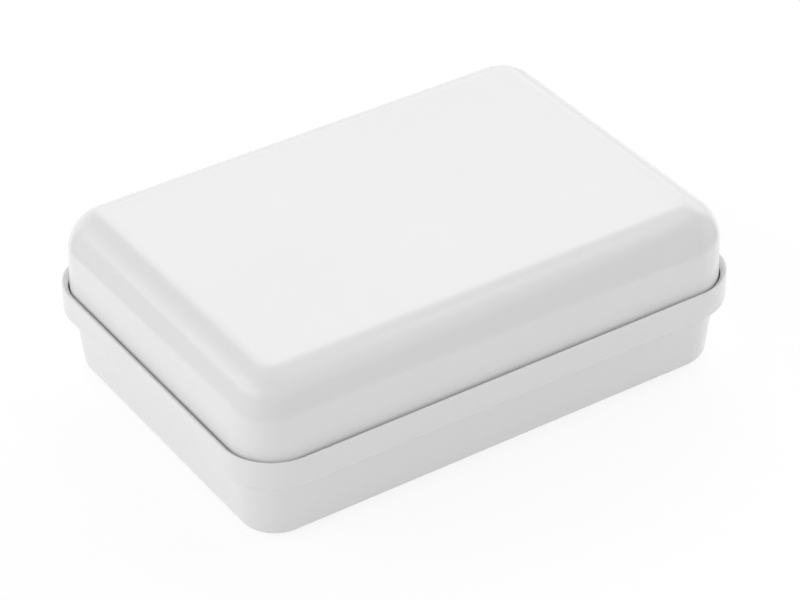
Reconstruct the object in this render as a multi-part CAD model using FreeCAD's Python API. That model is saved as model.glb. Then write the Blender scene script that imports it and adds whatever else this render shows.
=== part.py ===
"""Travel soap box in three mouldings: a stepped base, a lift-off lid and a lift-out drain rack.

Millimetres, +Z up, origin on the standing plane under the middle of the box.
X runs along the box and -Y is its front. The lid's skirt drops inside the base's rim and
seats on a ledge there. A lead-in inside the rim's crest guides it, and the joint shows as
one dark groove all round.
"""

import FreeCAD
import Part

import math
import os

Vector = FreeCAD.Vector
ORIGIN = Vector(0, 0, 0)
UP = Vector(0, 0, 1)
QUARTER_TURN = 90
cut_overrun = 1.0

# Whole box: the rim is the widest place, and the height is the closed one
box_length = 105.0
box_width = 73.5
box_height = 32.8
top_corner_radius = 1.1

# Base: tapered tray with a rim that steps outwards to take the lid
base_height = 18.7
base_wall = 1.4
base_floor = 1.5
base_draft_angle = 5.8
bottom_round = 2.3
floor_round = 1.2
rim_height = 6.0
rim_step = 2.0
rim_lip = 0.25
rim_crest_share = 0.4
rim_lead_in = 0.9
rim_under_round = 0.8
rim_step_fillet = 0.5
ledge_thickness = 1.4
ledge_edge_round = 0.3
foot_ring_height = 0.5
foot_ring_width = 2.4
foot_ring_corner = 3.0
gate_dimple_diameter = 6.0
gate_dimple_depth = 0.4
gate_nub_diameter = 1.4
gate_nub_height = 0.25

# Lid: deep cap with a broad rounded top edge and a straight skirt
lid_wall = 1.4
lid_top = 1.5
lid_draft_angle = 2.1
lid_edge_round = 7.5
lid_hem_round = 0.3
seam_gap = 1.15
skirt_clearance = 0.25
pip_clearance = 0.06
pip_radius_share = 0.42
pip_low_share = 0.25
pip_high_share = 0.7
pip_place_share = 0.62

# Drain rack: slotted plate on short feet, with low ridges that carry the soap
rack_clearance = 0.7
rack_plate = 1.3
rack_edge_round = 0.35
rack_foot_height = 2.2
rack_foot_diameter = 4.0
rack_foot_inset = 3.4
rack_margin = 6.4
slot_width = 3.2
slot_pitch = 7.0
spine_width = 7.0
ridge_width = 1.6
ridge_height = 0.7
notch_radius = 8.0
notch_shoulder = 2.0

# Levels and tapers that follow from the sizes above
rim_bottom = base_height - rim_height
ledge_level = rim_bottom + ledge_thickness
floor_level = foot_ring_height + base_floor
plate_level = floor_level + rack_foot_height
base_taper = math.tan(math.radians(base_draft_angle))
lid_taper = math.tan(math.radians(lid_draft_angle))
lid_edge_turn = math.radians(QUARTER_TURN - lid_draft_angle)


def base_wall_inset(level):
    """How far the base's outer wall lies inside the rim's outer face at a height."""
    return rim_step + (rim_bottom - level) * base_taper


def lid_wall_inset(level):
    """How far the lid's outer wall lies inside the rim's outer face at a height: its skirt is plumb."""
    return rim_lip + seam_gap + max(0, level - base_height) * lid_taper


# The rim's bore takes the lid's skirt, under the lead-in
rim_bore_inset = lid_wall_inset(ledge_level) - skirt_clearance

# All walls are concentric at the corners, so the lid's broad edge sets the plan's corner radius
lid_edge_run = lid_edge_round * math.tan(lid_edge_turn / 2)
corner_radius = lid_wall_inset(box_height) + lid_edge_run + top_corner_radius
bottom_turn = math.radians(QUARTER_TURN - base_draft_angle)
bottom_run = bottom_round * math.tan(bottom_turn / 2)
rack_inset = base_wall_inset(plate_level) + base_wall + rack_clearance
rack_length = box_length - 2 * rack_inset
rack_width = box_width - 2 * rack_inset


def rounded_face(corners):
    """A face in the XZ plane from corners (x, z, round), with an arc at each corner that has a round."""
    points = [Vector(x, 0, z) for x, z, _ in corners]
    rounds = [corner[2] for corner in corners]
    starts, mids, ends = [], [], []
    for i, point in enumerate(points):
        to_last = (points[i - 1] - point).normalize()
        to_next = (points[(i + 1) % len(points)] - point).normalize()
        half_angle = to_last.getAngle(to_next) / 2
        run = rounds[i] / math.tan(half_angle)
        reach = rounds[i] / math.sin(half_angle) - rounds[i]
        starts.append(point + to_last * run)
        mids.append(point + (to_last + to_next).normalize() * reach)
        ends.append(point + to_next * run)
    edges = []
    for i, size in enumerate(rounds):
        if size > 0:
            edges.append(Part.Arc(starts[i], mids[i], ends[i]).toShape())
        edges.append(Part.LineSegment(ends[i], starts[(i + 1) % len(points)]).toShape())
    return Part.Face(Part.Wire(edges))


def round_plan(length, width, corner, outline, core):
    """Carries a wall outline round a plan with rounded corners, and fills its middle.

    The outline's corners are (inset from the plan's edge, height, round), and start and
    end over the corner's own centre. The core is the (low, high) level of the plate there.
    """
    section = rounded_face([(corner - inset, level, size) for inset, level, size in outline])
    half_x = length / 2 - corner
    half_y = width / 2 - corner
    low, high = core
    pieces = [Part.makeBox(2 * half_x, 2 * half_y, high - low, Vector(-half_x, -half_y, low))]
    places = [(half_x, half_y), (-half_x, half_y), (-half_x, -half_y), (half_x, -half_y)]
    runs = [2 * half_y, 2 * half_x, 2 * half_y, 2 * half_x]
    for turn, ((x, y), run) in enumerate(zip(places, runs)):
        for piece in (section.revolve(ORIGIN, UP, QUARTER_TURN), section.extrude(Vector(0, -run, 0))):
            piece.rotate(ORIGIN, UP, QUARTER_TURN * turn)
            piece.translate(Vector(x, y, 0))
            pieces.append(piece)
    return pieces[0].multiFuse(pieces[1:]).removeSplitter()


def round_plate(length, width, corner, low, high, edge=0):
    """A flat plate with rounded corners in plan, and its rim edges rounded."""
    outline = [(corner, low, 0), (0, low, edge), (0, high, edge), (corner, high, 0)]
    return round_plan(length, width, corner, outline, (low, high))


def upright_capsule(radius, low, high, x, y):
    """A round-ended bead standing between two levels."""
    foot = Vector(x, y, low + radius)
    body = Part.makeCylinder(radius, high - low - 2 * radius, foot)
    ends = [Part.makeSphere(radius, Vector(x, y, level)) for level in (low + radius, high - radius)]
    return body.multiFuse(ends)


def make_base():
    """The tray: foot ring, tapered wall, stepped rim and the ledge that the lid seats on."""
    crest_round = rim_lip * rim_crest_share
    outline = [
        (corner_radius, 0, 0),
        (base_wall_inset(0), 0, bottom_round),
        (rim_step, rim_bottom, rim_step_fillet),
        (0, rim_bottom, rim_under_round),
        (0, base_height, crest_round),
        (rim_lip, base_height, crest_round),
        (rim_bore_inset, base_height - rim_lead_in, crest_round),
        (rim_bore_inset, ledge_level, 0),
        (base_wall_inset(ledge_level) + base_wall, ledge_level, ledge_edge_round),
        (base_wall_inset(floor_level) + base_wall, floor_level, floor_round),
        (corner_radius, floor_level, 0),
    ]
    tray = round_plan(box_length, box_width, corner_radius, outline, (0, floor_level))
    ring_inset = base_wall_inset(0) + bottom_run + foot_ring_width
    recess = round_plate(
        box_length - 2 * ring_inset,
        box_width - 2 * ring_inset,
        foot_ring_corner,
        -cut_overrun,
        foot_ring_height,
    )
    dimple = Part.makeCylinder(gate_dimple_diameter / 2, gate_dimple_depth, Vector(0, 0, foot_ring_height))
    nub_root = Vector(0, 0, foot_ring_height + gate_dimple_depth - gate_nub_height)
    nub = Part.makeCylinder(gate_nub_diameter / 2, gate_nub_height, nub_root)
    return tray.cut(recess).cut(dimple).fuse(nub).removeSplitter()


def make_pips():
    """The small beads on the lid's skirt that centre it in the rim and grip it."""
    engagement = base_height - ledge_level
    low = ledge_level + engagement * pip_low_share
    high = ledge_level + engagement * pip_high_share
    radius = lid_wall * pip_radius_share
    inset = rim_bore_inset + pip_clearance + radius
    along_x = (box_length / 2 - corner_radius) * pip_place_share
    along_y = (box_width / 2 - corner_radius) * pip_place_share
    across_x = box_length / 2 - inset
    across_y = box_width / 2 - inset
    places = [(side * along_x, face * across_y) for side in (-1, 1) for face in (-1, 1)]
    places += [(face * across_x, side * along_y) for side in (-1, 1) for face in (-1, 1)]
    return [upright_capsule(radius, low, high, x, y) for x, y in places]


def make_lid():
    """The cap: drafted wall, broad rounded top edge and a skirt with centring pips."""
    ceiling = box_height - lid_top
    outline = [
        (corner_radius, ceiling, 0),
        (lid_wall_inset(ceiling) + lid_wall, ceiling, lid_edge_round - lid_wall),
        (lid_wall_inset(base_height) + lid_wall, base_height, 0),
        (lid_wall_inset(ledge_level) + lid_wall, ledge_level, lid_hem_round),
        (lid_wall_inset(ledge_level), ledge_level, lid_hem_round),
        (lid_wall_inset(base_height), base_height, 0),
        (lid_wall_inset(box_height), box_height, lid_edge_round),
        (corner_radius, box_height, 0),
    ]
    cap = round_plan(box_length, box_width, corner_radius, outline, (ceiling, box_height))
    return cap.multiFuse(make_pips()).removeSplitter()


def make_slots(low, high):
    """Two banks of round-ended drain slots, one each side of the rack's spine."""
    first = spine_width / 2 + slot_width / 2
    last = rack_width / 2 - rack_margin - slot_width / 2
    cutters = []
    for x in slot_places():
        for side in (-1, 1):
            ends = [Vector(x, side * y, low) for y in (first, last)]
            corner = Vector(x - slot_width / 2, min(ends[0].y, ends[1].y), low)
            cutters.append(Part.makeBox(slot_width, last - first, high - low, corner))
            cutters += [Part.makeCylinder(slot_width / 2, high - low, end) for end in ends]
    return cutters


def slot_places():
    """Where the slots stand along the rack, clear of the finger notches at its ends."""
    room = rack_length - 2 * notch_radius - 2 * slot_width
    count = int(room / slot_pitch)
    return [(i - (count - 1) / 2) * slot_pitch for i in range(count)]


def make_ridges(plate_top):
    """A low rounded ridge on the land each side of every slot."""
    radius = (ridge_width**2 / 4 + ridge_height**2) / (2 * ridge_height)
    axis_level = plate_top + ridge_height - radius
    half_run = rack_width / 2 - rack_margin - radius
    lands = [x - slot_pitch / 2 for x in slot_places()] + [slot_places()[-1] + slot_pitch / 2]
    ridges = []
    for x in lands:
        start = Vector(x, -half_run, axis_level)
        end = Vector(x, half_run, axis_level)
        ridges.append(Part.makeCylinder(radius, 2 * half_run, start, Vector(0, 1, 0)))
        ridges += [Part.makeSphere(radius, tip) for tip in (start, end)]
    return ridges


def make_notches(low, high):
    """A half-round finger notch in each end of the rack, whose shoulders blend into the end."""
    edge = rack_length / 2
    both_radii = notch_radius + notch_shoulder
    shoulder_y = math.sqrt(both_radii**2 - notch_shoulder**2)
    to_bay = Vector(notch_shoulder, shoulder_y, 0) / both_radii
    shoulder_axis = Vector(edge - notch_shoulder, -shoulder_y, low)
    outside = Vector(edge + cut_overrun, -shoulder_y, low)
    shoulder = Vector(edge, -shoulder_y, low)
    shoulder_mid = shoulder_axis + (to_bay + Vector(1, 0, 0)).normalize() * notch_shoulder
    bay_start = shoulder_axis + to_bay * notch_shoulder
    bay_mid = Vector(edge - notch_radius, 0, low)

    def across(point):
        """The same point on the notch's other side."""
        return Vector(point.x, -point.y, point.z)

    sides = [
        Part.LineSegment(outside, shoulder),
        Part.Arc(shoulder, shoulder_mid, bay_start),
        Part.Arc(bay_start, bay_mid, across(bay_start)),
        Part.Arc(across(bay_start), across(shoulder_mid), across(shoulder)),
        Part.LineSegment(across(shoulder), across(outside)),
        Part.LineSegment(across(outside), outside),
    ]
    bay = Part.Face(Part.Wire([side.toShape() for side in sides]))
    right = bay.extrude(Vector(0, 0, high - low))
    left = right.copy()
    left.rotate(ORIGIN, UP, 2 * QUARTER_TURN)
    return [right, left]


def make_rack():
    """The drain rack: slotted plate, ridges, six feet and a finger notch in each end."""
    plate_top = plate_level + rack_plate
    plate = round_plate(
        rack_length,
        rack_width,
        corner_radius - rack_inset,
        plate_level,
        plate_top,
        rack_edge_round,
    )
    foot_x = rack_length / 2 - rack_foot_inset
    foot_y = rack_width / 2 - rack_foot_inset
    feet = [
        Part.makeCylinder(rack_foot_diameter / 2, rack_foot_height, Vector(x, y, floor_level))
        for x in (-foot_x, 0, foot_x)
        for y in (-foot_y, foot_y)
    ]
    cut_low = floor_level - cut_overrun
    cut_high = plate_top + ridge_height + cut_overrun
    body = plate.multiFuse(feet + make_ridges(plate_top)).removeSplitter()
    return body.cut(make_slots(cut_low, cut_high) + make_notches(cut_low, cut_high)).removeSplitter()


def write(name, shape):
    """Writes one named moulding, and prints whether it is sound, its volume and its size."""
    sound = len(shape.Solids) == 1 and shape.isValid()
    box = shape.optimalBoundingBox()
    size = f"{box.XLength:.2f} x {box.YLength:.2f} x {box.ZLength:.2f} mm"
    print(f"{name}: sound {sound}, {shape.Volume:.1f} mm3, {size}")
    shape.exportStep(os.path.join("parts", f"{name}.step"))


os.makedirs("parts", exist_ok=True)
write("base_tray", make_base())
write("lid", make_lid())
write("drain_rack", make_rack())
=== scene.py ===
"""Looks of a travel soap box: three white mouldings, a pale studio stage and the camera.

Metres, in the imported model's frame. Geometry Nodes carry each moulding's wall section round
the box's plan, and lay out what repeats: the lid's pips and the rack's slots, ridges and feet.
"""

import math
import typing

import bpy
from mathutils import Matrix, Vector


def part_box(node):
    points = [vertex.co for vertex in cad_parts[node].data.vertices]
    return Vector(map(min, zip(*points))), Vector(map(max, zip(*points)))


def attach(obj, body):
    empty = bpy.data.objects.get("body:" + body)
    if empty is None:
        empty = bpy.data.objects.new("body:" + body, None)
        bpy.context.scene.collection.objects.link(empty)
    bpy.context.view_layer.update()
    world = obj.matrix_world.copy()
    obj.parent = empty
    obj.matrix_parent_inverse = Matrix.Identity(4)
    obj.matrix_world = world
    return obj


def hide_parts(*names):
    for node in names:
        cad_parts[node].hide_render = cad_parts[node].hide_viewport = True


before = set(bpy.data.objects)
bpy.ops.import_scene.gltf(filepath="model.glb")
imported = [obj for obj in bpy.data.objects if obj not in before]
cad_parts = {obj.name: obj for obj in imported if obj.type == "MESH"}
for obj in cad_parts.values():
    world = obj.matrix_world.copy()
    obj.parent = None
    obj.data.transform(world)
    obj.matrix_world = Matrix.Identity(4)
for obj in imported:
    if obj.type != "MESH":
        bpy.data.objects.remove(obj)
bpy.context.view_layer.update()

bl_info = {
    "name": "Travel soap box",
    "version": (1, 0, 0),
    "blender": (4, 5, 0),
    "location": "3D View > Sidebar > Soap Box",
    "description": "Builds a white soap box with a lift-off lid and a drain rack, on a studio stage",
    "category": "Object",
}

QUARTER_TURN = math.pi / 2
CORNERS = 4

# How fine the meshes are: lengths in metres, the turn that stays crisp, then counts of flats
ARC_SAG = 0.000004
WELD = 0.000001
PLATE_WELD = 0.000003
SHARP_TURN = math.radians(38)
PIP_STEPS = 6
FOOT_STEPS = 8
SLOT_END_STEPS = 9
RIDGE_SEGMENTS = 28
RIDGE_RINGS = 15

# Shares of the gate's radius, of a pip's radius, of a slot's width and of the plate's lip
APRON_SHARE = 2
PIP_ROUND_SHARE = 0.999
SLOT_END_SHARE = 0.49
LIP_REACH_SHARE = 1.6

# The stage: lengths in metres, brightness where 1 is white, and the camera's sensor in millimetres
FLOOR_REACH = 1.5
FLOOR_DROP = 0.00002
FLOOR_GLOW = 0.8
FLOOR_VEIL = 0.25
SKY_FADE_START = math.radians(25)
SKY_FADE_END = math.radians(50)
SENSOR_WIDTH = 36
CAMERA_CLIP = 0.01


class Texture(typing.NamedTuple):
    """Noise in the plastic: cells in a metre, finer layers, and how strong those are."""

    scale: float
    detail: float
    roughness: float = 0.5


CLOUD = Texture(38, 4, 0.55)
PEEL = Texture(430, 2)
GRAIN = Texture(6500, 1)
HAIRS = Texture(1, 2)

# The scuffs' hairs are drawn out along one direction; marks fade in between two values
HAIR_TURN = (0.2, 0.1, 0.35)
HAIR_STRETCH = (60, 2400, 2400)
SCUFF_FADE = (0.66, 0.78)
WORN_FADE = (0.53, 0.6)

# How the plastic bends light, and how much each mark adds to its roughness
PLASTIC_IOR = 1.49
CLOUD_ROUGHNESS = 0.06
SCUFF_ROUGHNESS = 0.05
WORN_ROUGHNESS = 0.05


class Skin(typing.NamedTuple):
    """Depths of a moulded surface's waves and of its grain, in metres."""

    waves: float
    grain: float


POLISHED_SKIN = Skin(0.00002, 0.0000006)
SATIN_SKIN = Skin(0.00001, 0.000002)


class Softbox(typing.NamedTuple):
    """A lamp aimed at the box: degrees from the right end towards the back, degrees up, then metres.

    One that isn't mirrored lights the box but leaves no streak in its gloss.
    """

    azimuth: float
    elevation: float
    distance: float
    width: float
    height: float
    mirrored: bool = True


SOFTBOXES = {
    "back_box": Softbox(45, 27, 1.2, 1.7, 0.66),
    "crown_box": Softbox(62, 42, 1.2, 0.64, 0.4),
    "strip_box": Softbox(-8, 62, 1.1, 0.44, 0.15),
    "left_box": Softbox(164, 34, 1.1, 1.4, 0.7),
    "right_box": Softbox(-10, 20, 1.1, 0.9, 0.5, mirrored=False),
}


class Screen(typing.NamedTuple):
    """A curved upright screen about the box: degrees as for a softbox, metres, then its grey."""

    start: float
    end: float
    reach: float
    foot: float
    start_height: float
    end_height: float
    grey: float


SCREENS = {
    "near_screen": Screen(-232, -12, 0.112, 0, 0.047, 0.115, 0.02),
    "far_screen": Screen(80, 136, 1.45, 0.3, 2.0, 2.0, 0.7),
}

base_low, base_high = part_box("base_tray")
lid_low, lid_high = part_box("lid")
rack_low, rack_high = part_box("drain_rack")


def metres(label, text, default):
    """A length that a user may change."""
    return bpy.props.FloatProperty(
        name=label, description=text, default=default, precision=5, unit="LENGTH"
    )


def millimetres(label, text, default):
    """A small length that a user may change, written in millimetres and kept in metres."""
    return metres(label, text, default / 1000)


def angle(label, text, degrees):
    """An angle that a user may change."""
    return bpy.props.FloatProperty(
        name=label, description=text, default=math.radians(degrees), precision=5, subtype="ANGLE"
    )


def share(label, text, default):
    """A number from 0 to 1 that a user may change."""
    return bpy.props.FloatProperty(
        name=label, description=text, default=default, min=0, max=1, precision=4, subtype="FACTOR"
    )


def brightness(label, text, default):
    """A brightness that a user may change, where 1 shows as white."""
    return bpy.props.FloatProperty(name=label, description=text, default=default, min=0, precision=3)


def tint(label, text, default):
    """A colour that a user may change."""
    return bpy.props.FloatVectorProperty(
        name=label, description=text, default=default, size=3, min=0, max=1, subtype="COLOR"
    )


class BoxShape(bpy.types.PropertyGroup):
    """Sizes that the base and the lid share."""

    length: metres("Length", "Over the rim, along the box", base_high.x - base_low.x)
    width: metres("Width", "Over the rim, across the box", base_high.y - base_low.y)
    height: metres("Height", "Of the closed box", lid_high.z)
    rim_level: metres("Rim level", "Top of the base's rim", base_high.z)
    ledge_level: metres("Ledge level", "Where the lid's skirt seats", lid_low.z)
    wall: millimetres("Wall", "Thickness of the side walls", 1.4)
    rim_lip: millimetres("Rim lip", "Thickness of the rim at its crest", 0.25)
    seam_gap: millimetres("Seam gap", "Open joint between rim and lid at the crest", 1.15)
    skirt_clearance: millimetres("Skirt clearance", "Room round the lid's skirt in the rim", 0.25)
    top_corner: millimetres("Top corner", "Corner radius of the lid's flat top", 1.1)


class BaseShape(bpy.types.PropertyGroup):
    """Sizes of the base tray."""

    floor_level: metres("Floor level", "Where the rack's feet stand", rack_low.z)
    draft: angle("Draft", "Lean of the side wall", 5.8)
    bottom_round: millimetres("Bottom round", "Round under the side wall", 2.3)
    floor_round: millimetres("Floor round", "Round inside, at the floor", 1.2)
    rim_height: millimetres("Rim height", "Height of the stepped rim", 6.0)
    rim_step: millimetres("Rim step", "How far the rim stands out from the wall", 2.0)
    crest_round: millimetres("Crest round", "Round on the rim's crest", 0.1)
    lead_in: millimetres("Lead-in", "Height of the bevel inside the rim's crest, which guides the lid", 0.9)
    under_round: millimetres("Under round", "Round under the rim", 0.8)
    step_fillet: millimetres("Step fillet", "Fillet where rim and wall meet", 0.5)
    ledge_round: millimetres("Ledge round", "Round on the ledge's inner edge", 0.3)
    foot_height: millimetres("Foot height", "Height of the ring that the box stands on", 0.5)
    foot_width: millimetres("Foot width", "Width of the ring that the box stands on", 2.4)
    foot_corner: millimetres("Foot corner", "Corner radius of the recess in the ring", 3.0)
    gate_radius: millimetres("Gate radius", "Radius of the moulding gate's dimple", 3.0)
    gate_depth: millimetres("Gate depth", "Depth of the moulding gate's dimple", 0.4)
    nub_radius: millimetres("Nub radius", "Radius of the gate's trimmed stub", 0.7)
    nub_height: millimetres("Nub height", "Height of the gate's trimmed stub", 0.25)
    nub_round: millimetres("Nub round", "Softened edge of the gate's stub", 0.12)


class LidShape(bpy.types.PropertyGroup):
    """Sizes of the lid."""

    top: millimetres("Top", "Thickness of the flat top", 1.5)
    draft: angle("Draft", "Lean of the side wall", 2.1)
    edge_round: millimetres("Edge round", "Broad round along the top edge", 7.5)
    hem_round: millimetres("Hem round", "Round on the skirt's lower edge", 0.3)
    pip_clearance: millimetres("Pip clearance", "Room between a pip and the rim", 0.06)
    pip_radius_share: share("Pip radius", "Share of the wall", 0.42)
    pip_low_share: share("Pip foot", "Share of the skirt's depth in the rim", 0.25)
    pip_high_share: share("Pip top", "Share of the skirt's depth in the rim", 0.7)
    pip_place_share: share("Pip place", "Share of half a straight side", 0.62)


class RackShape(bpy.types.PropertyGroup):
    """Sizes of the drain rack."""

    plate: millimetres("Plate", "Thickness of the plate", 1.3)
    lip: millimetres("Lip", "Round on the plate's and the slots' edges", 0.35)
    foot_height: millimetres("Foot height", "Height of a foot", 2.2)
    foot_radius: millimetres("Foot radius", "Radius of a foot", 2.0)
    foot_round: millimetres("Foot round", "Round under a foot", 0.3)
    foot_inset: millimetres("Foot inset", "From the plate's edge to a foot's middle", 3.4)
    margin: millimetres("Margin", "Plain border beside the slots", 6.4)
    slot_width: millimetres("Slot width", "Width of a drain slot", 3.2)
    slot_pitch: millimetres("Slot pitch", "From slot to slot", 7.0)
    spine: millimetres("Spine", "Plain band between the two banks of slots", 7.0)
    ridge_width: millimetres("Ridge width", "Width of a soap ridge", 1.6)
    ridge_height: millimetres("Ridge height", "Height of a soap ridge", 0.7)
    notch_radius: millimetres("Notch radius", "Radius of a finger notch", 8.0)
    notch_shoulder: millimetres("Notch shoulder", "Round where a notch meets the end", 2.0)
    corner: millimetres("Corner", "Corner radius of the plate", 5.29)


class PlasticLook(bpy.types.PropertyGroup):
    """Colour and finish of the white plastic."""

    colour: tint("Colour", "Main tone of the plastic", (0.895, 0.895, 0.893))
    shade: tint("Shade", "Tone of its faint clouding", (0.875, 0.876, 0.877))
    gloss_roughness: share("Polished roughness", "Roughness of the base and the lid", 0.2)
    satin_roughness: share("Satin roughness", "Roughness of the rack", 0.42)


class StageLook(bpy.types.PropertyGroup):
    """Light, floor and camera."""

    floor_colour: tint("Floor", "Colour of the floor as it lights the box", (0.8, 0.8, 0.8))
    horizon: brightness("Horizon", "Brightness of the sky near the horizon", 0.9)
    zenith: brightness("Zenith", "Brightness of the sky overhead", 0.33)
    back_box: brightness("Back box", "Brightness of the broad box behind, which the flat top mirrors", 0.8)
    crown_box: brightness("Crown box", "Brightness of the box above the back box", 1.05)
    strip_box: brightness("Strip box", "Brightness of the strip that streaks the front round", 1.5)
    left_box: brightness("Left box", "Brightness of the box at the left end", 1.2)
    right_box: brightness("Right box", "Brightness of the box at the right end", 1.6)
    azimuth: angle("Azimuth", "Camera's direction round the box", -33.436)
    elevation: angle("Elevation", "Camera's height above the horizon", 35.348)
    roll: angle("Roll", "Camera's roll", -0.385)
    lens: bpy.props.FloatProperty(name="Lens", description="Focal length in millimetres", default=142.24)
    distance: millimetres("Distance", "Camera to the middle of the box", 572.68)
    aside: millimetres("Aside", "Camera's offset to its right", 0.95)
    lift: millimetres("Lift", "Camera's offset upwards", -3.17)


class SoapBox(bpy.types.PropertyGroup):
    """All settings of the soap box."""

    box: bpy.props.PointerProperty(type=BoxShape)
    base: bpy.props.PointerProperty(type=BaseShape)
    lid: bpy.props.PointerProperty(type=LidShape)
    rack: bpy.props.PointerProperty(type=RackShape)
    plastic: bpy.props.PointerProperty(type=PlasticLook)
    stage: bpy.props.PointerProperty(type=StageLook)


def rim_bottom(soap):
    """Level of the rim's lower edge."""
    return soap.box.rim_level - soap.base.rim_height


def base_inset(soap, level):
    """How far the base's outer wall lies inside the rim's outer face at a level."""
    return soap.base.rim_step + (rim_bottom(soap) - level) * math.tan(soap.base.draft)


def lid_inset(soap, level):
    """How far the lid's outer wall lies inside the rim's outer face at a level: its skirt is plumb."""
    lean = max(0, level - soap.box.rim_level) * math.tan(soap.lid.draft)
    return soap.box.rim_lip + soap.box.seam_gap + lean


def bore_inset(soap):
    """How far the rim's inner face lies inside its outer face, under the lead-in."""
    return lid_inset(soap, soap.box.ledge_level) - soap.box.skirt_clearance


def plan_corner(soap):
    """Corner radius of the box's plan, over the rim."""
    edge_run = soap.lid.edge_round * math.tan((QUARTER_TURN - soap.lid.draft) / 2)
    return lid_inset(soap, soap.box.height) + edge_run + soap.box.top_corner


def arc_steps(radius, turn):
    """How many flats an arc needs to stay within the allowed sag."""
    return max(2, math.ceil(turn / (2 * math.acos(1 - min(1, ARC_SAG / radius)))))


def arc(centre, radius, start, end):
    """Points along an arc, both ends included."""
    steps = arc_steps(radius, abs(end - start))
    turns = [start + (end - start) * i / steps for i in range(steps + 1)]
    return [(centre[0] + radius * math.cos(t), centre[1] + radius * math.sin(t)) for t in turns]


def rounded(corners):
    """Points along an outline of corners (across, level, round), with an arc at each round."""
    points = []
    for i, (across, level, size) in enumerate(corners):
        corner = Vector((across, level))
        if not size:
            points.append(corner.to_tuple())
            continue
        before = (Vector(corners[i - 1][:2]) - corner).normalized()
        after = (Vector(corners[i + 1][:2]) - corner).normalized()
        half = before.angle(after) / 2
        middle = corner + (before + after).normalized() * (size / math.sin(half))
        start = corner + before * (size / math.tan(half)) - middle
        end = corner + after * (size / math.tan(half)) - middle
        first = math.atan2(start.y, start.x)
        sweep = math.atan2(start.x * end.y - start.y * end.x, start.dot(end))
        points += arc(middle, size, first, first + sweep)
    return points


def wall_rows(soap, outline):
    """Rows of a section whose outline gives insets from the rim's outer face."""
    corner = plan_corner(soap)
    middle = (soap.box.length / 2 - corner, soap.box.width / 2 - corner)
    return [(*middle, corner - inset, level) for inset, level in rounded(outline)]


def round_rows(outline):
    """Rows of a section whose outline gives radii about an upright axis."""
    return [(0, 0, radius, level) for radius, level in rounded(outline)]


def base_rows(soap):
    """The base's section, from the middle of its underside round to the middle of its floor."""
    box, base = soap.box, soap.base
    gate_level = base.foot_height + base.gate_depth
    rows = round_rows(
        [
            (0, gate_level - base.nub_height, 0),
            (base.nub_radius, gate_level - base.nub_height, base.nub_round),
            (base.nub_radius, gate_level, 0),
            (base.gate_radius, gate_level, base.nub_round),
            (base.gate_radius, base.foot_height, base.nub_round),
            (base.gate_radius * APRON_SHARE, base.foot_height, 0),
        ]
    )
    bottom_turn = QUARTER_TURN - base.draft
    ring = base_inset(soap, 0) + base.bottom_round * math.tan(bottom_turn / 2) + base.foot_width
    ring_middle = (box.length / 2 - ring - base.foot_corner, box.width / 2 - ring - base.foot_corner)
    rows += [(*ring_middle, base.foot_corner, level) for level in (base.foot_height, 0)]
    rows += wall_rows(
        soap,
        [
            (ring, 0, 0),
            (base_inset(soap, 0), 0, base.bottom_round),
            (base.rim_step, rim_bottom(soap), base.step_fillet),
            (0, rim_bottom(soap), base.under_round),
            (0, box.rim_level, base.crest_round),
            (box.rim_lip, box.rim_level, base.crest_round),
            (bore_inset(soap), box.rim_level - base.lead_in, base.crest_round),
            (bore_inset(soap), box.ledge_level, 0),
            (base_inset(soap, box.ledge_level) + box.wall, box.ledge_level, base.ledge_round),
            (base_inset(soap, base.floor_level) + box.wall, base.floor_level, base.floor_round),
            (plan_corner(soap), base.floor_level, 0),
        ],
    )[1:]
    return rows + [(0, 0, 0, base.floor_level)]


def lid_rows(soap):
    """The lid's section, from the middle of its ceiling round to the middle of its top."""
    box, lid = soap.box, soap.lid
    ceiling = box.height - lid.top
    rows = wall_rows(
        soap,
        [
            (plan_corner(soap), ceiling, 0),
            (lid_inset(soap, ceiling) + box.wall, ceiling, lid.edge_round - box.wall),
            (lid_inset(soap, box.rim_level) + box.wall, box.rim_level, 0),
            (lid_inset(soap, box.ledge_level) + box.wall, box.ledge_level, lid.hem_round),
            (lid_inset(soap, box.ledge_level), box.ledge_level, lid.hem_round),
            (lid_inset(soap, box.rim_level), box.rim_level, 0),
            (lid_inset(soap, box.height), box.height, lid.edge_round),
            (plan_corner(soap), box.height, 0),
        ],
    )
    return [(0, 0, 0, ceiling), *rows, (0, 0, 0, box.height)]


def linked(thing):
    """Puts a new object into the scene."""
    bpy.context.scene.collection.objects.link(thing)
    return thing


def section_object(name, rows):
    """A section as points: each holds its radius and level, and carries its corner's middle."""
    mesh = bpy.data.meshes.new(name)
    mesh.from_pydata([(radius, 0, level) for _, _, radius, level in rows], [], [])
    middles = mesh.attributes.new("middle", "FLOAT_VECTOR", "POINT")
    middles.data.foreach_set("vector", [value for x, y, _, _ in rows for value in (x, y, 0)])
    return linked(bpy.data.objects.new(name, mesh))


def curve_object(name, points, closed):
    """A curve of straight runs through points in its own XY plane."""
    curve = bpy.data.curves.new(name, "CURVE")
    curve.dimensions = "3D"
    spline = curve.splines.new("POLY")
    spline.points.add(len(points) - 1)
    spline.points.foreach_set("co", [value for x, y in points for value in (x, y, 0, 1)])
    spline.use_cyclic_u = closed
    return linked(bpy.data.objects.new(name, curve))


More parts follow.
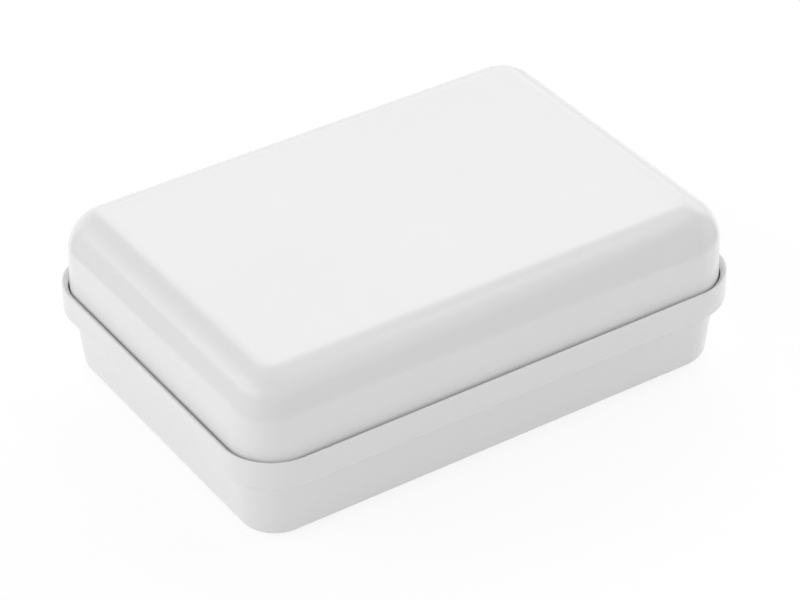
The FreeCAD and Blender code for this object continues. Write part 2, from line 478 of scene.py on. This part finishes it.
class Tree:
    """A node tree under construction."""

    def __init__(self, group):
        self.group = group

    @classmethod
    def of_geometry(cls, name, sockets):
        """A new Geometry Nodes tree with named inputs."""
        tree = cls(bpy.data.node_groups.new(name, "GeometryNodeTree"))
        for label, kind in sockets:
            tree.group.interface.new_socket(label, in_out="INPUT", socket_type="NodeSocket" + kind)
        tree.group.interface.new_socket("Geometry", in_out="OUTPUT", socket_type="NodeSocketGeometry")
        tree.inputs = tree.group.nodes.new("NodeGroupInput").outputs
        return tree

    def add(self, kind, feeds=None, output=0, **options):
        """Adds a node, sets its options, feeds its sockets with values or links, and returns an output."""
        node = self.group.nodes.new(kind)
        for option, value in options.items():
            setattr(node, option, value)
        for key, value in (feeds or {}).items():
            for source in value if isinstance(value, list) else [value]:
                if isinstance(source, bpy.types.NodeSocket):
                    self.group.links.new(source, node.inputs[key])
                else:
                    node.inputs[key].default_value = source
        return node.outputs[output] if node.outputs else node

    def maths(self, operation, *values):
        """A number worked out from one, two or three others."""
        return self.add("ShaderNodeMath", dict(enumerate(values)), operation=operation)

    def vector(self, x, y, z):
        """A vector from its parts."""
        return self.add("ShaderNodeCombineXYZ", {"X": x, "Y": y, "Z": z})

    def parts(self, vector):
        """The X, Y and Z of a vector."""
        x = self.add("ShaderNodeSeparateXYZ", {"Vector": vector})
        return x.node.outputs

    def moved(self, geometry, offset):
        """Geometry shifted by a vector."""
        return self.add("GeometryNodeSetPosition", {"Geometry": geometry, "Offset": offset})

    def spread(self, points, shape):
        """A real copy of a shape on each point."""
        copies = self.add("GeometryNodeInstanceOnPoints", {"Points": points, "Instance": shape})
        return self.add("GeometryNodeRealizeInstances", {"Geometry": copies})

    def finish(self, geometry, material=None):
        """Shades the result, keeps its sharp turns crisp, gives it its material and ends the tree."""
        if material is not None:
            turn = self.add("GeometryNodeInputMeshEdgeAngle", output="Unsigned Angle")
            sharp = self.maths("GREATER_THAN", turn, SHARP_TURN)
            geometry = self.add("GeometryNodeSetShadeSmooth", {"Geometry": geometry, "Shade Smooth": True})
            geometry = self.add(
                "GeometryNodeSetShadeSmooth",
                {"Geometry": geometry, "Selection": sharp, "Shade Smooth": False},
                domain="EDGE",
            )
            geometry = self.add("GeometryNodeRealizeInstances", {"Geometry": geometry})
            geometry = self.add("GeometryNodeSetMaterial", {"Geometry": geometry, "Material": material})
        self.add("NodeGroupOutput", {"Geometry": geometry})
        return self.group


def sampled(tree, source, value, index):
    """A vector read from the source's point of that number."""
    feeds = {"Geometry": source, "Value": value, "Index": index}
    return tree.add("GeometryNodeSampleIndex", feeds, data_type="FLOAT_VECTOR")


def section_tree():
    """Tree that carries a section's rows round a plan, turning through each of its corners."""
    tree = Tree.of_geometry("carry_section", [("Section", "Object"), ("Corner Steps", "Int")])
    section = tree.add("GeometryNodeObjectInfo", {"Object": tree.inputs["Section"]}, "Geometry")
    rows = tree.add("GeometryNodeAttributeDomainSize", {"Geometry": section}, "Point Count")
    per_corner = tree.maths("ADD", tree.inputs["Corner Steps"], 1)
    columns = tree.maths("MULTIPLY", per_corner, CORNERS)
    last_row = tree.maths("SUBTRACT", rows, 1)
    sheet = tree.add(
        "GeometryNodeMeshGrid",
        {
            "Size X": columns,
            "Size Y": last_row,
            "Vertices X": tree.maths("ADD", columns, 1),
            "Vertices Y": rows,
        },
    )
    place = tree.add("GeometryNodeInputPosition")
    across, along, _ = tree.parts(place)
    column = tree.maths("ROUND", tree.maths("MULTIPLY_ADD", columns, 0.5, across))
    row = tree.maths("ROUND", tree.maths("MULTIPLY_ADD", last_row, 0.5, along))
    corner = tree.maths("FLOOR", tree.maths("DIVIDE", tree.maths("ADD", column, 0.5), per_corner))
    step = tree.maths("SUBTRACT", column, tree.maths("MULTIPLY", corner, per_corner))
    step_share = tree.maths("DIVIDE", step, tree.inputs["Corner Steps"])
    turn = tree.maths("MULTIPLY", tree.maths("ADD", corner, step_share), QUARTER_TURN)
    facing = tree.maths("MULTIPLY", tree.maths("ADD", corner, 0.5), QUARTER_TURN)
    middle = tree.add("GeometryNodeInputNamedAttribute", {"Name": "middle"}, data_type="FLOAT_VECTOR")
    radius, _, level = tree.parts(sampled(tree, section, place, row))
    middle_x, middle_y, _ = tree.parts(sampled(tree, section, middle, row))
    laid = []
    for wave, reach in (("COSINE", middle_x), ("SINE", middle_y)):
        side = tree.maths("SIGN", tree.maths(wave, facing))
        shift = tree.maths("MULTIPLY", side, reach)
        laid.append(tree.maths("MULTIPLY_ADD", radius, tree.maths(wave, turn), shift))
    shell = tree.add("GeometryNodeSetPosition", {"Geometry": sheet, "Position": tree.vector(*laid, level)})
    return tree.finish(tree.add("GeometryNodeMergeByDistance", {"Geometry": shell, "Distance": WELD}))


def carried(tree, section, steps):
    """The shell that a section makes, inside another tree."""
    group = bpy.data.node_groups.get("carry_section") or section_tree()
    feeds = {"Section": tree.inputs[section], "Corner Steps": tree.inputs[steps]}
    node = tree.group.nodes.new("GeometryNodeGroup")
    node.node_tree = group
    for key, source in feeds.items():
        tree.group.links.new(source, node.inputs[key])
    return node.outputs["Geometry"]


def united(tree, shapes):
    """Closed shapes joined into one skin."""
    return tree.add("GeometryNodeMeshBoolean", {1: shapes}, operation="UNION", solver="MANIFOLD")


def base_tree():
    """Tree of the base: its section carried round the plan."""
    tree = Tree.of_geometry(
        "base_moulding", [("Section", "Object"), ("Corner Steps", "Int"), ("Plastic", "Material")]
    )
    return tree.finish(carried(tree, "Section", "Corner Steps"), tree.inputs["Plastic"])


def lid_tree():
    """Tree of the lid: its section carried round the plan, and two pips on each side of the skirt."""
    tree = Tree.of_geometry(
        "lid_moulding",
        [
            ("Section", "Object"),
            ("Corner Steps", "Int"),
            ("Pip", "Object"),
            ("Pip Steps", "Int"),
            ("Along X", "Float"),
            ("Along Y", "Float"),
            ("Across X", "Float"),
            ("Across Y", "Float"),
            ("Plastic", "Material"),
        ],
    )
    shell = carried(tree, "Section", "Corner Steps")
    pip = carried(tree, "Pip", "Pip Steps")
    pips = []
    for x, y in (("Along X", "Across Y"), ("Across X", "Along Y")):
        feeds = {"Size X": tree.inputs[x], "Size Y": tree.inputs[y], "Vertices X": 2, "Vertices Y": 2}
        pips.append(tree.spread(tree.add("GeometryNodeMeshGrid", feeds), pip))
    return tree.finish(united(tree, [shell, *pips]), tree.inputs["Plastic"])


def rack_tree():
    """Tree of the rack: a plate with rounded lips filled between its outlines, ridges and feet."""
    tree = Tree.of_geometry(
        "rack_moulding",
        [
            ("Outline", "Object"),
            ("Lip Profile", "Object"),
            ("Lip Reach", "Float"),
            ("Plate Low", "Float"),
            ("Plate High", "Float"),
            ("Slots", "Int"),
            ("Slot Pitch", "Float"),
            ("Slot Width", "Float"),
            ("Slot Length", "Float"),
            ("Bank Spacing", "Float"),
            ("Ridge Radius", "Float"),
            ("Ridge Level", "Float"),
            ("Ridge Half Run", "Float"),
            ("Foot", "Object"),
            ("Foot Steps", "Int"),
            ("Foot Spacing X", "Float"),
            ("Foot Spacing Y", "Float"),
            ("Plastic", "Material"),
        ],
    )
    get = tree.inputs
    rim = tree.add("GeometryNodeObjectInfo", {"Object": get["Outline"]}, "Geometry")
    profile = tree.add("GeometryNodeObjectInfo", {"Object": get["Lip Profile"]}, "Geometry")
    slot = tree.add(
        "GeometryNodeCurvePrimitiveQuadrilateral",
        {"Width": get["Slot Width"], "Height": get["Slot Length"]},
    )
    end_radius = tree.maths("MULTIPLY", get["Slot Width"], SLOT_END_SHARE)
    slot = tree.add(
        "GeometryNodeFilletCurve",
        {"Curve": slot, "Count": SLOT_END_STEPS, "Radius": end_radius},
        mode="POLY",
    )
    slot = tree.add("GeometryNodeReverseCurve", {"Curve": slot})
    run = tree.maths("MULTIPLY", tree.maths("SUBTRACT", get["Slots"], 1), get["Slot Pitch"])
    places = tree.add(
        "GeometryNodeMeshGrid",
        {"Size X": run, "Size Y": get["Bank Spacing"], "Vertices X": get["Slots"], "Vertices Y": 2},
    )
    outlines = tree.add("GeometryNodeJoinGeometry", {"Geometry": [rim, tree.spread(places, slot)]})
    outlines = tree.add("GeometryNodeSetCurveNormal", {"Curve": outlines}, mode="Z_UP")
    lips = tree.add("GeometryNodeCurveToMesh", {"Curve": outlines, "Profile Curve": profile})
    inwards = tree.add(
        "ShaderNodeVectorMath",
        {0: tree.add("GeometryNodeInputNormal"), "Scale": tree.maths("MULTIPLY", get["Lip Reach"], -1)},
        operation="SCALE",
    )
    face = tree.add("GeometryNodeFillCurve", {"Curve": tree.moved(outlines, inwards)}, mode="TRIANGLES")
    top = tree.moved(face, tree.vector(0, 0, get["Plate High"]))
    under = tree.moved(face, tree.vector(0, 0, get["Plate Low"]))
    under = tree.add("GeometryNodeFlipFaces", {"Mesh": under})
    plate = tree.add("GeometryNodeJoinGeometry", {"Geometry": [lips, top, under]})
    plate = tree.add("GeometryNodeMergeByDistance", {"Geometry": plate, "Distance": PLATE_WELD})

    bead = tree.add(
        "GeometryNodeMeshUVSphere",
        {"Segments": RIDGE_SEGMENTS, "Rings": RIDGE_RINGS, "Radius": get["Ridge Radius"]},
    )
    bead = tree.add("GeometryNodeTransform", {"Geometry": bead, "Rotation": (QUARTER_TURN, 0, 0)})
    _, along, _ = tree.parts(tree.add("GeometryNodeInputPosition"))
    stretch = tree.maths("MULTIPLY", tree.maths("SIGN", along), get["Ridge Half Run"])
    ridge = tree.moved(bead, tree.vector(0, stretch, 0))
    first = tree.maths("MULTIPLY", tree.maths("MULTIPLY", get["Slots"], get["Slot Pitch"]), -0.5)
    lands = tree.add(
        "GeometryNodeMeshLine",
        {
            "Count": tree.maths("ADD", get["Slots"], 1),
            "Start Location": tree.vector(first, 0, get["Ridge Level"]),
            "Offset": tree.vector(get["Slot Pitch"], 0, 0),
        },
    )
    stands = tree.add(
        "GeometryNodeMeshGrid",
        {
            "Size X": get["Foot Spacing X"],
            "Size Y": get["Foot Spacing Y"],
            "Vertices X": 3,
            "Vertices Y": 2,
        },
    )
    feet = tree.spread(stands, carried(tree, "Foot", "Foot Steps"))
    return tree.finish(united(tree, [plate, tree.spread(lands, ridge), feet]), get["Plastic"])


def emptied_tree(owner):
    """The node tree of a new material or world, with nothing in it."""
    owner.use_nodes = True
    owner.node_tree.nodes.clear()
    return Tree(owner.node_tree)


def noise(tree, place, texture):
    """A noise texture's value at a place."""
    return tree.add(
        "ShaderNodeTexNoise",
        {
            "Vector": place,
            "Scale": texture.scale,
            "Detail": texture.detail,
            "Roughness": texture.roughness,
        },
    )


def faded(tree, value, fade):
    """0 below the first value of a fade, 1 above the second, and between them a ramp."""
    low, high = fade
    return tree.add("ShaderNodeMapRange", {"Value": value, "From Min": low, "From Max": high})


def plastic(name, look, roughness, skin):
    """White moulded plastic: faint clouding, fine skin texture, hairline scuffs and duller edges."""
    material = bpy.data.materials.get(name)
    if material:
        return material
    material = bpy.data.materials.new(name)
    tree = emptied_tree(material)
    place = tree.add("ShaderNodeTexCoord", output="Object")
    cloud = noise(tree, place, CLOUD)
    drawn = tree.add("ShaderNodeMapping", {"Vector": place, "Rotation": HAIR_TURN, "Scale": HAIR_STRETCH})
    scuffs = faded(tree, noise(tree, drawn, HAIRS), SCUFF_FADE)
    worn = faded(tree, tree.add("ShaderNodeNewGeometry", output="Pointiness"), WORN_FADE)
    colour = tree.add(
        "ShaderNodeMix",
        {"Factor": cloud, "A": (*look.colour, 1), "B": (*look.shade, 1)},
        output="Result",
        data_type="RGBA",
    )
    rough = tree.maths("MULTIPLY_ADD", cloud, CLOUD_ROUGHNESS, roughness - CLOUD_ROUGHNESS / 2)
    rough = tree.maths("MULTIPLY_ADD", scuffs, SCUFF_ROUGHNESS, rough)
    rough = tree.maths("MULTIPLY_ADD", worn, WORN_ROUGHNESS, rough)
    waves = tree.add(
        "ShaderNodeBump", {"Height": noise(tree, place, PEEL), "Strength": 1, "Distance": skin.waves}
    )
    bumps = tree.add(
        "ShaderNodeBump",
        {"Height": noise(tree, place, GRAIN), "Strength": 1, "Distance": skin.grain, "Normal": waves},
    )
    shader = tree.add(
        "ShaderNodeBsdfPrincipled",
        {"Base Color": colour, "Roughness": rough, "Normal": bumps, "IOR": PLASTIC_IOR},
    )
    tree.add("ShaderNodeOutputMaterial", {"Surface": shader})
    return material


def polished_plastic(look):
    """The plastic that the base and the lid share."""
    return plastic("polished_plastic", look, look.gloss_roughness, POLISHED_SKIN)


def satin_plastic(look):
    """The rack's plastic."""
    return plastic("satin_plastic", look, look.satin_roughness, SATIN_SKIN)


def make_piece(name, group, values, body, node):
    """Evaluates a moulding's tree into a plain mesh that stands for its CAD node and rides its body."""
    piece = linked(bpy.data.objects.new(name, bpy.data.meshes.new(name)))
    shaping = piece.modifiers.new("Moulding", "NODES")
    shaping.node_group = group
    for socket in group.interface.items_tree:
        if socket.in_out == "INPUT":
            shaping[socket.identifier] = values[socket.name]
    piece.modifiers.new("Normals", "WEIGHTED_NORMAL").keep_sharp = True
    graph = bpy.context.evaluated_depsgraph_get()
    plain = bpy.data.meshes.new_from_object(piece.evaluated_get(graph))
    if not plain.polygons:
        raise RuntimeError(f"{name} came out empty")
    piece.modifiers.clear()
    piece.data = plain
    for helper in [value for value in values.values() if isinstance(value, bpy.types.Object)]:
        bpy.data.objects.remove(helper)
    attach(piece, body)
    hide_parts(node)


class SOAPBOX_OT_base(bpy.types.Operator):
    """Make the base tray with its stepped rim, ledge and foot ring"""

    bl_idname = "soapbox.base"
    bl_label = "Base Tray"

    def execute(self, context):
        soap = context.scene.soap_box
        values = {
            "Section": section_object("base_section", base_rows(soap)),
            "Corner Steps": arc_steps(plan_corner(soap), QUARTER_TURN),
            "Plastic": polished_plastic(soap.plastic),
        }
        make_piece("base_shell", base_tree(), values, "base", "base_tray")
        return {"FINISHED"}


class SOAPBOX_OT_lid(bpy.types.Operator):
    """Make the lid with its broad rounded edge and the pips on its skirt"""

    bl_idname = "soapbox.lid"
    bl_label = "Lid"

    def execute(self, context):
        soap = context.scene.soap_box
        box, lid = soap.box, soap.lid
        engaged = box.rim_level - box.ledge_level
        low = box.ledge_level + engaged * lid.pip_low_share
        high = box.ledge_level + engaged * lid.pip_high_share
        radius = box.wall * lid.pip_radius_share
        inset = bore_inset(soap) + lid.pip_clearance + radius
        corner = plan_corner(soap)
        pip_round = radius * PIP_ROUND_SHARE
        pip = [(0, low, 0), (radius, low, pip_round), (radius, high, pip_round), (0, high, 0)]
        values = {
            "Section": section_object("lid_section", lid_rows(soap)),
            "Corner Steps": arc_steps(corner, QUARTER_TURN),
            "Pip": section_object("pip_section", round_rows(pip)),
            "Pip Steps": PIP_STEPS,
            "Along X": (box.length - 2 * corner) * lid.pip_place_share,
            "Along Y": (box.width - 2 * corner) * lid.pip_place_share,
            "Across X": box.length - 2 * inset,
            "Across Y": box.width - 2 * inset,
            "Plastic": polished_plastic(soap.plastic),
        }
        make_piece("lid_shell", lid_tree(), values, "lid", "lid")
        return {"FINISHED"}


def rack_outline(rack, length, width):
    """The rack's outline: rounded corners, and a finger notch with blended shoulders in each end."""
    end = length / 2
    radius, shoulder, corner = rack.notch_radius, rack.notch_shoulder, rack.corner
    shoulder_y = math.sqrt((radius + shoulder) ** 2 - shoulder**2)
    lean = math.atan2(shoulder_y, shoulder)
    corner_x, corner_y = end - corner, width / 2 - corner
    half = arc((corner_x, -corner_y), corner, -QUARTER_TURN, 0)
    half += arc((end - shoulder, -shoulder_y), shoulder, 0, lean)
    half += arc((end, 0), radius, math.pi + lean, math.pi - lean)[1:-1]
    half += arc((end - shoulder, shoulder_y), shoulder, -lean, 0)
    half += arc((corner_x, corner_y), corner, 0, QUARTER_TURN)
    return half + [(-x, -y) for x, y in half]


class SOAPBOX_OT_rack(bpy.types.Operator):
    """Make the drain rack with its slots, ridges, feet and finger notches"""

    bl_idname = "soapbox.rack"
    bl_label = "Drain Rack"

    def execute(self, context):
        soap = context.scene.soap_box
        rack = soap.rack
        length, width = rack_high.x - rack_low.x, rack_high.y - rack_low.y
        floor = soap.base.floor_level
        low = floor + rack.foot_height
        high = low + rack.plate
        reach = rack.lip * LIP_REACH_SHARE
        lip = [(-reach, -high, 0), (0, -high, rack.lip), (0, -low, rack.lip), (-reach, -low, 0)]
        slots = int((length - 2 * rack.notch_radius - 2 * rack.slot_width) / rack.slot_pitch)
        slot_length = width / 2 - rack.margin - rack.spine / 2
        ridge_radius = (rack.ridge_width**2 / 4 + rack.ridge_height**2) / (2 * rack.ridge_height)
        foot_top = low + rack.lip
        foot = [
            (0, floor, 0),
            (rack.foot_radius, floor, rack.foot_round),
            (rack.foot_radius, foot_top, 0),
            (0, foot_top, 0),
        ]
        values = {
            "Outline": curve_object("rack_outline", rack_outline(rack, length, width), True),
            "Lip Profile": curve_object("lip_profile", rounded(lip), False),
            "Lip Reach": reach,
            "Plate Low": low,
            "Plate High": high,
            "Slots": slots,
            "Slot Pitch": rack.slot_pitch,
            "Slot Width": rack.slot_width,
            "Slot Length": slot_length,
            "Bank Spacing": slot_length + rack.spine,
            "Ridge Radius": ridge_radius,
            "Ridge Level": high + rack.ridge_height - ridge_radius,
            "Ridge Half Run": width / 2 - rack.margin - ridge_radius,
            "Foot": section_object("foot_section", round_rows(foot)),
            "Foot Steps": FOOT_STEPS,
            "Foot Spacing X": length - 2 * rack.foot_inset,
            "Foot Spacing Y": width - 2 * rack.foot_inset,
            "Plastic": satin_plastic(soap.plastic),
        }
        make_piece("rack_plate", rack_tree(), values, "rack", "drain_rack")
        return {"FINISHED"}


def grey(value):
    """A grey colour, from 0, black, to 1, white."""
    return (value, value, value, 1)


def seen_directly(tree):
    """1 for a ray that shows the background itself, and 0 for one that carries its light."""
    path = tree.add("ShaderNodeLightPath").node.outputs
    straight = tree.maths("MAXIMUM", path["Is Camera Ray"], path["Is Glossy Ray"])
    return tree.maths("MAXIMUM", straight, path["Is Transmission Ray"])


class SOAPBOX_OT_stage(bpy.types.Operator):
    """Set up the pale floor, the studio light and the camera"""

    bl_idname = "soapbox.stage"
    bl_label = "Stage"

    def execute(self, context):
        look = context.scene.soap_box.stage
        context.scene.view_settings.view_transform = "Standard"
        self.lay_floor(look)
        self.light(context.scene, look)
        self.stand_screens()
        self.place_camera(context.scene, look)
        return {"FINISHED"}

    def lay_floor(self, look):
        """A wide plain floor that looks white and keeps a faint shadow."""
        sides = ((-1, -1), (1, -1), (1, 1), (-1, 1))
        corners = [(x * FLOOR_REACH, y * FLOOR_REACH, -FLOOR_DROP) for x, y in sides]
        mesh = bpy.data.meshes.new("floor")
        mesh.from_pydata(corners, [], [(0, 1, 2, 3)])
        floor = linked(bpy.data.objects.new("floor", mesh))
        material = bpy.data.materials.new("pale_floor")
        tree = emptied_tree(material)
        plain = tree.add("ShaderNodeBsdfDiffuse", {"Color": (*look.floor_colour, 1)})
        glow = tree.add("ShaderNodeEmission", {"Strength": FLOOR_GLOW})
        veil = tree.add("ShaderNodeBsdfDiffuse", {"Color": grey(FLOOR_VEIL)})
        white = tree.add("ShaderNodeAddShader", {0: glow, 1: veil})
        surface = tree.add("ShaderNodeMixShader", {0: seen_directly(tree), 1: plain, 2: white})
        tree.add("ShaderNodeOutputMaterial", {"Surface": surface})
        mesh.materials.append(material)

    def light(self, scene, look):
        """A sky that looks white and lights most from near the horizon, and softboxes round the box."""
        scene.world = bpy.data.worlds.new("studio")
        tree = emptied_tree(scene.world)
        height = tree.parts(tree.add("ShaderNodeTexCoord", output="Generated"))[2]
        glow = tree.add(
            "ShaderNodeMapRange",
            {
                "Value": height,
                "From Min": math.sin(SKY_FADE_START),
                "From Max": math.sin(SKY_FADE_END),
                "To Min": look.horizon,
                "To Max": look.zenith,
            },
            interpolation_type="SMOOTHSTEP",
        )
        sky = tree.add("ShaderNodeBackground", {"Color": grey(1), "Strength": glow})
        white = tree.add("ShaderNodeBackground", {"Color": grey(1), "Strength": 1})
        surface = tree.add("ShaderNodeMixShader", {0: seen_directly(tree), 1: sky, 2: white})
        tree.add("ShaderNodeOutputWorld", {"Surface": surface})
        aim = Vector((0, 0, scene.soap_box.box.height / 2))
        for name, softbox in SOFTBOXES.items():
            lamp = bpy.data.lights.new(name, "AREA")
            lamp.shape = "RECTANGLE"
            lamp.size, lamp.size_y = softbox.width, softbox.height
            lamp.energy = getattr(look, name) * math.pi * softbox.width * softbox.height
            azimuth, elevation = math.radians(softbox.azimuth), math.radians(softbox.elevation)
            flat = softbox.distance * math.cos(elevation)
            rise = softbox.distance * math.sin(elevation)
            away = Vector((flat * math.cos(azimuth), flat * math.sin(azimuth), rise))
            hung = linked(bpy.data.objects.new(name, lamp))
            hung.visible_glossy = softbox.mirrored
            hung.location = aim + away
            hung.rotation_euler = (-away).to_track_quat("-Z", "Y").to_euler()

    def stand_screens(self):
        """Curved screens, a black one round the box and a grey one behind it, which only gloss mirrors."""
        for name, screen in SCREENS.items():
            material = bpy.data.materials.new(name)
            tree = emptied_tree(material)
            matt = tree.add("ShaderNodeBsdfDiffuse", {"Color": grey(screen.grey)})
            tree.add("ShaderNodeOutputMaterial", {"Surface": matt})
            line = arc((0, 0), screen.reach, math.radians(screen.start), math.radians(screen.end))
            count = len(line)
            rise = (screen.end_height - screen.start_height) / (count - 1)
            corners = [(x, y, screen.foot) for x, y in line]
            corners += [(x, y, screen.start_height + rise * i) for i, (x, y) in enumerate(line)]
            faces = [(i, i + 1, count + i + 1, count + i) for i in range(count - 1)]
            mesh = bpy.data.meshes.new(name)
            mesh.from_pydata(corners, [], faces)
            mesh.materials.append(material)
            cloth = linked(bpy.data.objects.new(name, mesh))
            cloth.visible_camera = False
            cloth.visible_diffuse = False
            cloth.visible_shadow = False

    def place_camera(self, scene, look):
        """The camera of the reference view."""
        middle = Vector((0, 0, scene.soap_box.box.height / 2))
        back = Vector((0, -1, 0))
        back.rotate(Matrix.Rotation(-look.elevation, 3, "X"))
        back.rotate(Matrix.Rotation(look.azimuth, 3, "Z"))
        turn = (-back).to_track_quat("-Z", "Y").to_matrix() @ Matrix.Rotation(look.roll, 3, "Z")
        place = middle + back * look.distance + turn @ Vector((look.aside, look.lift, 0))
        data = bpy.data.cameras.new("camera")
        data.lens = look.lens
        data.sensor_width = SENSOR_WIDTH
        data.clip_start = CAMERA_CLIP
        camera = linked(bpy.data.objects.new("camera", data))
        camera.matrix_world = Matrix.LocRotScale(place, turn.to_quaternion(), None)
        scene.camera = camera


class SOAPBOX_PT_panel(bpy.types.Panel):
    """Steps and settings of the soap box"""

    bl_idname = "SOAPBOX_PT_panel"
    bl_label = "Soap Box"
    bl_space_type = "VIEW_3D"
    bl_region_type = "UI"
    bl_category = "Soap Box"

    def draw(self, context):
        for step in STEPS:
            self.layout.operator(step.bl_idname)
        soap = context.scene.soap_box
        for group in (soap.box, soap.base, soap.lid, soap.rack, soap.plastic, soap.stage):
            column = self.layout.column(heading=type(group).__name__)
            for name in type(group).__annotations__:
                column.prop(group, name)


STEPS = (SOAPBOX_OT_base, SOAPBOX_OT_lid, SOAPBOX_OT_rack, SOAPBOX_OT_stage)
GROUPS = (BoxShape, BaseShape, LidShape, RackShape, PlasticLook, StageLook, SoapBox)


def register():
    """Adds the settings, steps and panel."""
    for cls in (*GROUPS, *STEPS, SOAPBOX_PT_panel):
        bpy.utils.register_class(cls)
    bpy.types.Scene.soap_box = bpy.props.PointerProperty(type=SoapBox)


def unregister():
    """Takes the panel, steps and settings away."""
    del bpy.types.Scene.soap_box
    for cls in reversed((*GROUPS, *STEPS, SOAPBOX_PT_panel)):
        bpy.utils.unregister_class(cls)


def main():
    """Builds the soap box and its stage."""
    register()
    bpy.ops.soapbox.base()
    bpy.ops.soapbox.lid()
    bpy.ops.soapbox.rack()
    bpy.ops.soapbox.stage()


if __name__ == "__main__":
    main()
